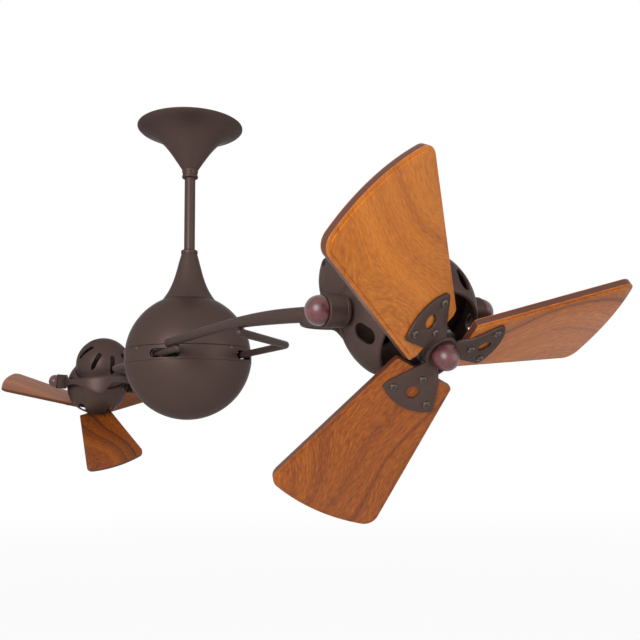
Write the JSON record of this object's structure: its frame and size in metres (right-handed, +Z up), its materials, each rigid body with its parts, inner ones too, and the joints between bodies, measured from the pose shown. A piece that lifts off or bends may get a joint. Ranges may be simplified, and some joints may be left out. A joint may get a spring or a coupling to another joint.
{
  "type": "twin head ceiling fan",
  "caption": "Ceiling fan with two tilting heads on long drooping arms around a sphere that turns on a downrod, bronze metal with wooden blades.",
  "frame": {"origin": "centre of the ceiling face of the mounting plate, on the downrod axis", "axes": "+Z up into the ceiling, +X towards head A, +Y sideways so that head B lies at -X"},
  "size_m": [1.5198, 0.4059, 0.6124],
  "materials": {
    "bronze": "satin dark bronze",
    "screw_bronze": "darkened",
    "steel": "machined",
    "copper": "wound and varnished",
    "dark_plastic": "moulded",
    "blade_wood": "satin lacquer over figured grain",
    "turned_wood": "dark red lacquer"
  },
  "bodies": {
    "hanger": {"ceiling_plate": "steel", "hanger_ball": "dark_plastic", "hanger_pin": "steel", "downrod": "bronze", "canopy": "bronze", "canopy_collar": "bronze", "collar_screws": "screw_bronze", "neck_cover": "bronze", "upper_dome": "bronze", "coupling": "steel", "spindle": "steel", "slip_ring": "copper", "spindle_nut": "steel"},
    "carrier": {"carrier_plate": "steel", "band": "bronze", "band_screws": "steel", "lower_bowl": "bronze", "bowl_screws": "screw_bronze", "upper_bearing": "steel", "lower_bearing": "steel", "brush_block": "dark_plastic", "stub_a": "bronze", "arm_a": "bronze", "brace_a": "bronze", "fork_a": "bronze", "stub_b": "bronze", "arm_b": "bronze", "brace_b": "bronze", "fork_b": "bronze"},
    "head_a": {"rear_shell_a": "bronze", "front_shell_a": "bronze", "shell_screws_a": "screw_bronze", "stator_a": "copper", "motor_bearings_a": "steel", "pivot_studs_a": "steel"},
    "rotor_a_body": {"rotor_a": "steel", "bracket_a": "bronze", "blade_a1": "blade_wood", "blade_a2": "blade_wood", "blade_a3": "blade_wood", "blade_screws_a": "screw_bronze", "finial_a": "turned_wood"},
    "knob_a_left_body": {"knob_a_left": "turned_wood"},
    "knob_a_right_body": {"knob_a_right": "turned_wood"},
    "head_b": {"rear_shell_b": "bronze", "front_shell_b": "bronze", "shell_screws_b": "screw_bronze", "stator_b": "copper", "motor_bearings_b": "steel", "pivot_studs_b": "steel"},
    "rotor_b_body": {"rotor_b": "steel", "bracket_b": "bronze", "blade_b1": "blade_wood", "blade_b2": "blade_wood", "blade_b3": "blade_wood", "blade_screws_b": "screw_bronze", "finial_b": "turned_wood"},
    "knob_b_left_body": {"knob_b_left": "turned_wood"},
    "knob_b_right_body": {"knob_b_right": "turned_wood"}
  },
  "joints": [
    {"name": "carrier_turn", "type": "hinge", "parent": "hanger", "child": "carrier", "pos_m": [0, 0, -0.394], "axis": [0, 0, 1], "continuous": true},
    {"name": "head_a_tilt", "type": "hinge", "parent": "carrier", "child": "head_a", "pos_m": [0.602, 0, -0.4043], "axis": [0, 0.9986, 0.0523], "range_deg": [-131.4, 48.6]},
    {"name": "rotor_a_spin", "type": "hinge", "parent": "head_a", "child": "rotor_a_body", "pos_m": [0.602, 0, -0.4043], "axis": [0.7501, 0.0346, -0.6604], "continuous": true},
    {"name": "knob_a_left_turn", "type": "hinge", "parent": "carrier", "child": "knob_a_left_body", "pos_m": [0.602, 0, -0.4043], "axis": [0, -0.9986, -0.0523], "range_deg": [-180, 180]},
    {"name": "knob_a_right_turn", "type": "hinge", "parent": "carrier", "child": "knob_a_right_body", "pos_m": [0.602, 0, -0.4043], "axis": [0, 0.9986, 0.0523], "range_deg": [-180, 180]},
    {"name": "head_b_tilt", "type": "hinge", "parent": "carrier", "child": "head_b", "pos_m": [-0.602, 0, -0.4043], "axis": [0, -0.9986, 0.0523], "range_deg": [-138.3, 41.7]},
    {"name": "rotor_b_spin", "type": "hinge", "parent": "head_b", "child": "rotor_b_body", "pos_m": [-0.602, 0, -0.4043], "axis": [-0.6652, -0.0391, -0.7456], "continuous": true},
    {"name": "knob_b_left_turn", "type": "hinge", "parent": "carrier", "child": "knob_b_left_body", "pos_m": [-0.602, 0, -0.4043], "axis": [0, 0.9986, -0.0523], "range_deg": [-180, 180]},
    {"name": "knob_b_right_turn", "type": "hinge", "parent": "carrier", "child": "knob_b_right_body", "pos_m": [-0.602, 0, -0.4043], "axis": [0, -0.9986, 0.0523], "range_deg": [-180, 180]}
  ]
}
